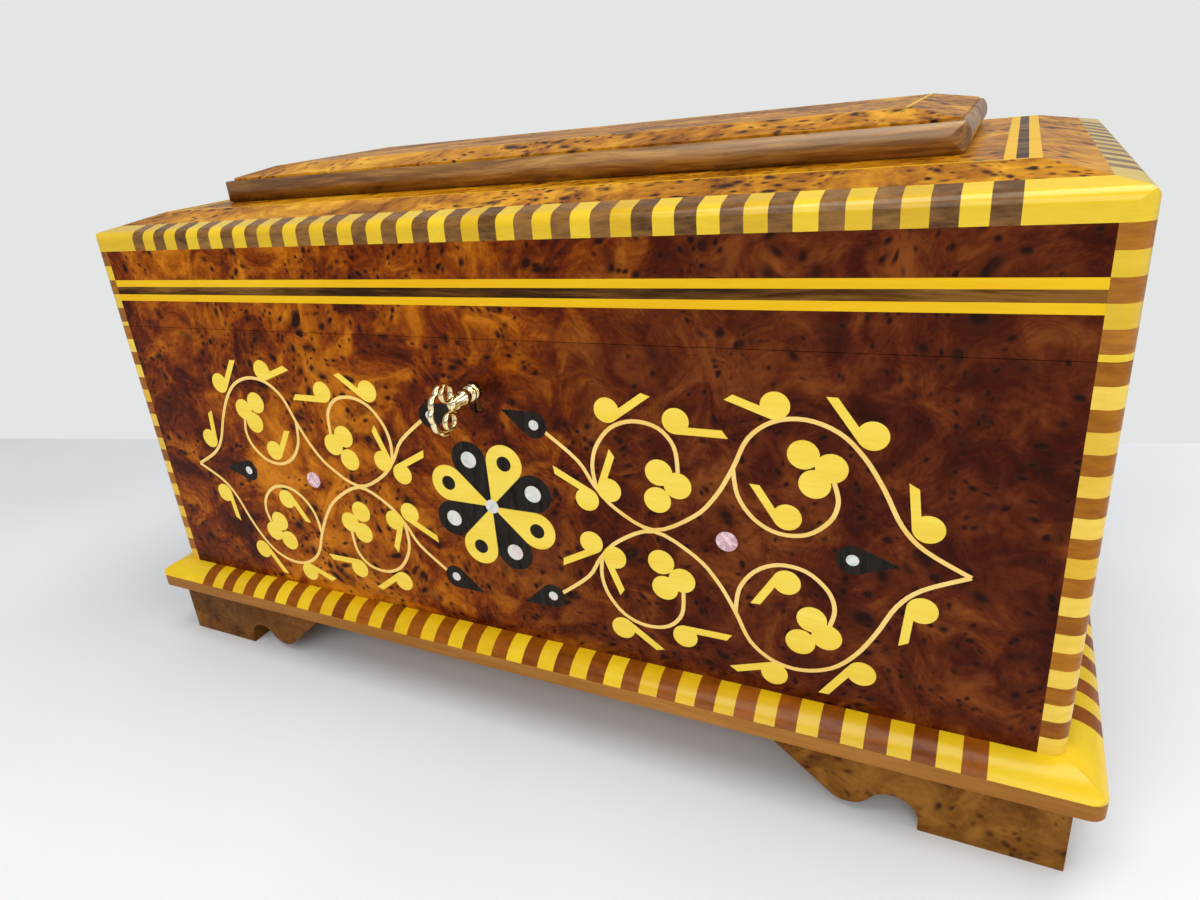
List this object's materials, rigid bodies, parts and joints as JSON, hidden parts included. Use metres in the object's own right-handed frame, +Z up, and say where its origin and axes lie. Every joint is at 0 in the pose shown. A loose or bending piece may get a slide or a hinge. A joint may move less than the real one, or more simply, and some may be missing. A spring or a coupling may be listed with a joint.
{
  "type": "wind-up music box",
  "caption": "Footed rectangular chest with a hinged lid, a keyed box lock, banded edges, vine inlay, a lined well and a wind-up cylinder movement.",
  "frame": {"origin": "floor plane, under the middle of the whole object's outline with the key in the lock", "axes": "+X to the right along the front, -Y towards the front face, +Z up"},
  "size_m": [0.4226, 0.2536, 0.2326],
  "materials": {
    "burl": "gloss lacquer over figured burl veneer",
    "core_wood": "satin",
    "lemonwood": "gloss lacquer",
    "walnut": "gloss lacquer, straight grain",
    "ebony": "gloss lacquer",
    "mother_of_pearl": "polished",
    "brass": "polished",
    "steel": "satin",
    "bedplate_metal": "painted satin",
    "velvet": "matte",
    "clear_cover": "polished"
  },
  "bodies": {
    "case": {"base_board": "core_wood", "foot_front_left": "burl", "foot_front_right": "burl", "foot_back_left": "burl", "foot_back_right": "burl", "front_board": "core_wood", "back_board": "core_wood", "left_board": "core_wood", "right_board": "core_wood", "bottom_board": "core_wood", "front_veneer": "burl", "case_veneers": "burl", "case_banding_light": "lemonwood", "case_banding_dark": "walnut", "vine_inlay": "lemonwood", "leaf_inlay": "lemonwood", "light_petals": "lemonwood", "ebony_inlay": "ebony", "pearl_dots": "mother_of_pearl", "lock_case": "brass", "lock_face_plate": "brass", "case_screws": "brass", "hinge_case_leaves": "brass", "hinge_pins": "steel", "partition_board": "core_wood", "well_lining": "velvet", "cover_ledges": "core_wood", "movement_cover": "clear_cover", "bedplate": "bedplate_metal", "comb": "steel", "governor_frame": "brass", "movement_screws": "steel", "rod_guide": "brass"},
    "lid": {"lid_frame": "core_wood", "lid_top_board": "core_wood", "lid_veneers": "burl", "lid_banding_light": "lemonwood", "lid_banding_dark": "walnut", "lid_stringing_light": "lemonwood", "lid_stringing_dark": "walnut", "panel_moulding": "walnut", "panel_board": "core_wood", "panel_veneers": "burl", "hinge_lid_leaves": "brass", "strike_plate": "brass", "lid_screws": "brass", "lid_lining": "velvet", "lid_stop_block": "core_wood"},
    "key": {"lock_key": "brass"},
    "bolt": {"lock_bolt": "brass"},
    "barrel": {"spring_barrel": "brass", "mainspring": "steel"},
    "arbor": {"winding_arbor": "steel", "winding_key": "brass"},
    "cylinder": {"music_cylinder": "brass", "cylinder_pins": "steel"},
    "governor_shaft": {"governor_wheel": "brass"},
    "governor": {"governor_worm": "steel"},
    "stop": {"stop_rod": "steel"}
  },
  "joints": [
    {"name": "lid_hinge", "type": "hinge", "parent": "case", "child": "lid", "pos_m": [0, 0.1184, 0.1703], "axis": [-1, 0, 0], "range_deg": [0, 95]},
    {"name": "key_turn", "type": "hinge", "parent": "case", "child": "key", "pos_m": [0, -0.0905, 0.1505], "axis": [0, 1, 0], "range_deg": [0, 180]},
    {"name": "bolt_slide", "type": "slide", "parent": "case", "child": "bolt", "axis": [1, 0, 0], "range_m": [0, 0.005]},
    {"name": "barrel_turn", "type": "hinge", "parent": "case", "child": "barrel", "pos_m": [-0.092, 0.0095, 0.062], "axis": [0, 0, 1], "continuous": true},
    {"name": "winding_turn", "type": "hinge", "parent": "case", "child": "arbor", "pos_m": [-0.092, 0.0095, 0.04], "axis": [0, 0, 1], "continuous": true},
    {"name": "cylinder_turn", "type": "hinge", "parent": "case", "child": "cylinder", "pos_m": [-0.136, 0.0095, 0.07815], "axis": [1, 0, 0], "continuous": true},
    {"name": "governor_shaft_turn", "type": "hinge", "parent": "case", "child": "governor_shaft", "pos_m": [-0.17, 0.0227, 0.07815], "axis": [1, 0, 0], "continuous": true},
    {"name": "governor_turn", "type": "hinge", "parent": "case", "child": "governor", "pos_m": [-0.173, 0.02949, 0.085], "axis": [0, 0, 1], "continuous": true},
    {"name": "stop_slide", "type": "slide", "parent": "case", "child": "stop", "axis": [0, 0, 1], "range_m": [0, 0.005]}
  ],
  "couplings": [
    {"joint": "bolt_slide", "follows": "key_turn", "m_per_rad": 0.00159},
    {"joint": "cylinder_turn", "follows": "barrel_turn", "ratio": -2},
    {"joint": "governor_shaft_turn", "follows": "barrel_turn", "ratio": 6},
    {"joint": "governor_turn", "follows": "barrel_turn", "ratio": -96},
    {"joint": "stop_slide", "follows": "lid_hinge", "m_per_rad": 0.003}
  ]
}
